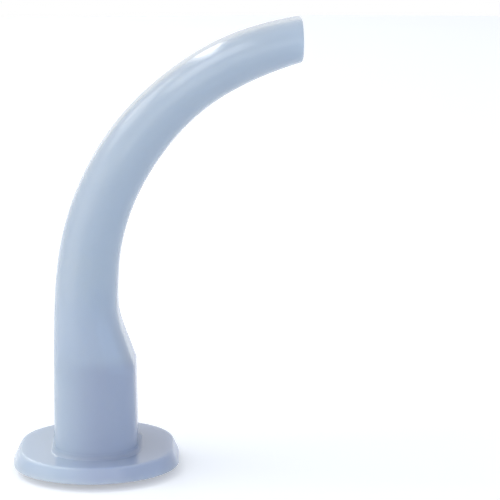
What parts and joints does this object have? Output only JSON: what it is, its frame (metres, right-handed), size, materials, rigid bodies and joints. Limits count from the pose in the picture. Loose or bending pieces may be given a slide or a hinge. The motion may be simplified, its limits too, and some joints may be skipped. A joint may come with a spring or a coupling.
{
  "type": "oropharyngeal airway",
  "caption": "Curved, flattened airway tube in soft translucent plastic, with an oval flange and a rigid bite block pressed into its straight end.",
  "frame": {"origin": "centre of the flange's flat outer face, on the axis of the bite block's bore", "axes": "+Z from the outer face along the straight part of the tube, +X the side the tube curves to, +Y across the tube's width"},
  "size_m": [0.0462, 0.0326, 0.0712],
  "materials": {
    "natural_polyethylene": "satin, translucent",
    "rigid_polypropylene": "gloss, opaque"
  },
  "bodies": {
    "root": {"airway_body": "natural_polyethylene", "bite_block": "rigid_polypropylene"}
  },
  "joints": []
}
